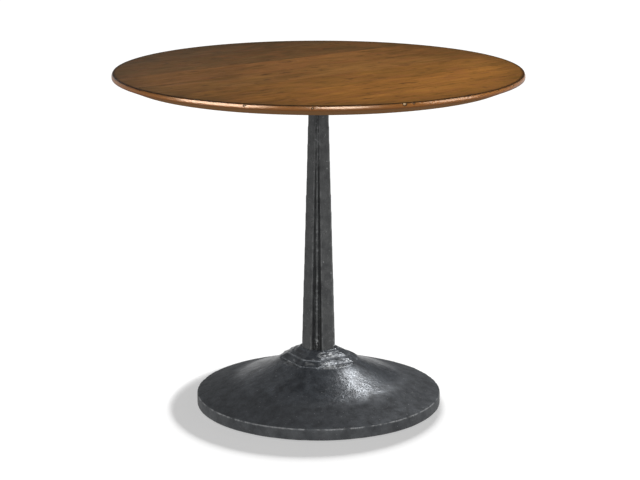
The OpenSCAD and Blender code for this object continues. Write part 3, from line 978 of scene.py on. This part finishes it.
def studio_world():
    """White to the camera, and a soft fill. What shines sees it white low down and dim overhead."""
    world = bpy.data.worlds.new("studio")
    world.use_nodes = True
    tree = world.node_tree
    tree.nodes.clear()
    rays = add(tree, "ShaderNodeLightPath")
    direction = add(tree, "ShaderNodeTexCoord").outputs["Generated"]
    rise = add(tree, "ShaderNodeSeparateXYZ", {0: direction}).outputs[2]
    sweep = add(tree, "ShaderNodeValToRGB", {"Fac": rise})
    stops = sweep.color_ramp.elements
    stops[0].position = 0.06
    stops[0].color = (1, 1, 1, 1)
    stops[1].position = 0.9
    stops[1].color = (0.6, 0.6, 0.6, 1)
    stops.new(0.3).color = (0.42, 0.42, 0.42, 1)
    stops.new(0.6).color = (0.3, 0.3, 0.3, 1)
    # A dark flag behind the table keeps the glare off the right of the top
    toward_flag = add(
        tree,
        "ShaderNodeVectorMath",
        {0: direction, 1: seen_direction(167, 14)},
        operation="DOT_PRODUCT",
    ).outputs["Value"]
    flag = add(
        tree,
        "ShaderNodeMapRange",
        {
            "Value": toward_flag,
            "From Min": math.cos(math.radians(24)),
            "From Max": math.cos(math.radians(14)),
            "To Min": 1.0,
            "To Max": 0.12,
        },
    ).outputs[0]
    shown = add(
        tree, "ShaderNodeMath", {0: sweep.outputs[0], 1: flag}, operation="MULTIPLY"
    ).outputs[0]
    level = add(
        tree,
        "ShaderNodeMix",
        {"Factor": rays.outputs["Is Glossy Ray"], "A": FILL_LEVEL, "B": shown},
    ).outputs["Result"]
    strength = add(
        tree, "ShaderNodeMath", {0: level, 1: rays.outputs["Is Camera Ray"]}, operation="MAXIMUM"
    ).outputs[0]
    sky = add(tree, "ShaderNodeBackground", {"Strength": strength}).outputs[0]
    add(tree, "ShaderNodeOutputWorld", {"Surface": sky})
    scene.world = world


def light_group(name, members, left_out=False):
    """Objects that a lamp lights or is blocked by or, left out, every object but these."""
    group = bpy.data.collections.new(name)
    scene.collection.children.link(group)
    for member in members:
        group.objects.link(member)
    if left_out:
        for member in group.collection_objects:
            member.light_linking.link_state = "EXCLUDE"
    return group


def shade(name, location, radii):
    """A flat oval that only blocks lamps: neither the camera nor a reflection sees it."""
    outline = bmesh.new()
    bmesh.ops.create_circle(outline, cap_ends=True, segments=128, radius=1)
    mesh = bpy.data.meshes.new(name)
    outline.to_mesh(mesh)
    outline.free()
    oval = bpy.data.objects.new(name, mesh)
    scene.collection.objects.link(oval)
    oval.location = location
    oval.rotation_euler = (0, 0, CAMERA_AZIMUTH)
    oval.scale = (radii[0], radii[1], 1)
    oval.visible_camera = False
    oval.visible_diffuse = False
    oval.visible_glossy = False
    oval.visible_transmission = False
    return oval


def soft_box(name, direction, distance, size, radiance, target, receivers, blockers):
    """A rectangular lamp that faces the target from a direction. Size is its width and height."""
    lamp = bpy.data.lights.new(name, "AREA")
    lamp.shape = "RECTANGLE"
    lamp.size, lamp.size_y = size
    lamp.energy = radiance * math.pi * size[0] * size[1]
    box = bpy.data.objects.new(name, lamp)
    scene.collection.objects.link(box)
    box.location = target + direction.normalized() * distance
    box.rotation_euler = (-direction).to_track_quat("-Z", "Y").to_euler()
    box.visible_camera = False
    box.light_linking.receiver_collection = receivers
    box.light_linking.blocker_collection = blockers
    return box


floor = studio_floor()
studio_world()

# One shade near the floor casts the foot's shadow there, and one keeps the edge lamps off the
# flat top
floor_shade = shade("floor shade", camera_frame(-0.028, 0.029, RIM_Z - 2 * MM), (0.308, 0.352))
top_shade = shade("top shade", (0, 0, TOP_Z + 0.3 * MM), (TOP_R - 6 * MM, TOP_R - 6 * MM))

planks = [bpy.data.objects[f"plank_{number}"] for number in range(1, 8)]
only_floor = light_group("only the floor", [floor])
only_planks = light_group("only the top", planks)
only_iron = light_group("neither the floor nor the top", [floor] + planks, left_out=True)
no_shade = light_group("neither shade", [floor_shade, top_shade], left_out=True)
only_top_shade = light_group("only the top shade", [top_shade])
only_floor_shade = light_group("only the floor shade", [floor_shade])

middle = Vector((0, 0, 0.55))
foot_middle = Vector((0, 0, 0.08))
top_middle = Vector((0, 0, TOP_Z))
top_lamp_direction = camera_frame(0.35, -0.1, 0.9)

# Each lamp's direction, distance, size and radiance, what it faces and lights, and whether it
# gives light, a reflection or both
for name, direction, distance, size, radiance, target, receivers, gives in (
    ("key", seen_direction(142, 51), 2.6, (0.9, 0.46), 24.0, foot_middle, only_iron, "both"),
    ("left fill", seen_direction(-72, 24), 3.0, (4.2, 1.7), 3.2, middle, only_iron, "reflection"),
    ("front fill", seen_direction(4, 26), 5.0, (2.4, 2.8), 8.5, middle, only_iron, "both"),
    ("right fill", seen_direction(77, 26), 3.0, (1.6, 1.7), 4.0, middle, only_iron, "both"),
    ("overhead", seen_direction(90, 58), 2.6, (2.2, 2.2), 2.1, top_middle, only_iron, "light"),
    ("top light", top_lamp_direction, 0.97, (0.6, 0.6), 8.0, top_middle, only_planks, "light"),
):
    box = soft_box(name, direction, distance, size, radiance, target, receivers, no_shade)
    box.visible_glossy = gives != "light"
    box.visible_diffuse = gives != "reflection"

# The edge lamps only show as warm reflections on the edge of the top
for name, direction, distance, size, radiance in (
    ("left edge", seen_direction(-52, 20), 3.0, (2.5, 1.9), 38.0),
    ("front edge", seen_direction(13, 24), 5.0, (2.1, 2.8), 40.0),
    ("right edge", seen_direction(74, 20), 3.0, (1.4, 1.6), 19.0),
):
    box = soft_box(
        name, direction, distance, size, radiance, top_middle, only_planks, only_top_shade
    )
    box.visible_diffuse = False
    box.data.color = linear("fff0dc")[:3]

# A broad low lamp of the floor's own throws the even oval shadow
low_sun = bpy.data.lights.new("floor lamp", "SUN")
low_sun.energy = FLOOR_LEVEL * math.pi / math.sin(LAMP_RISE)
low_sun.angle = LAMP_SPREAD
floor_lamp = bpy.data.objects.new("floor lamp", low_sun)
scene.collection.objects.link(floor_lamp)
lamp_direction = camera_frame(0, 1, math.tan(LAMP_RISE))
floor_lamp.rotation_euler = (-lamp_direction).to_track_quat("-Z", "Y").to_euler()
floor_lamp.light_linking.receiver_collection = only_floor
floor_lamp.light_linking.blocker_collection = only_floor_shade

camera_data = bpy.data.cameras.new("camera")
camera_data.lens = CAMERA_LENS
camera_data.sensor_width = 36
camera = bpy.data.objects.new("camera", camera_data)
scene.collection.objects.link(camera)
camera.location = (
    CAMERA_DISTANCE * math.sin(CAMERA_AZIMUTH),
    -CAMERA_DISTANCE * math.cos(CAMERA_AZIMUTH),
    CAMERA_HEIGHT,
)
camera.rotation_euler = (math.pi / 2 - CAMERA_PITCH, 0, CAMERA_AZIMUTH - CAMERA_YAW)
scene.camera = camera
scene.view_settings.view_transform = "Standard"
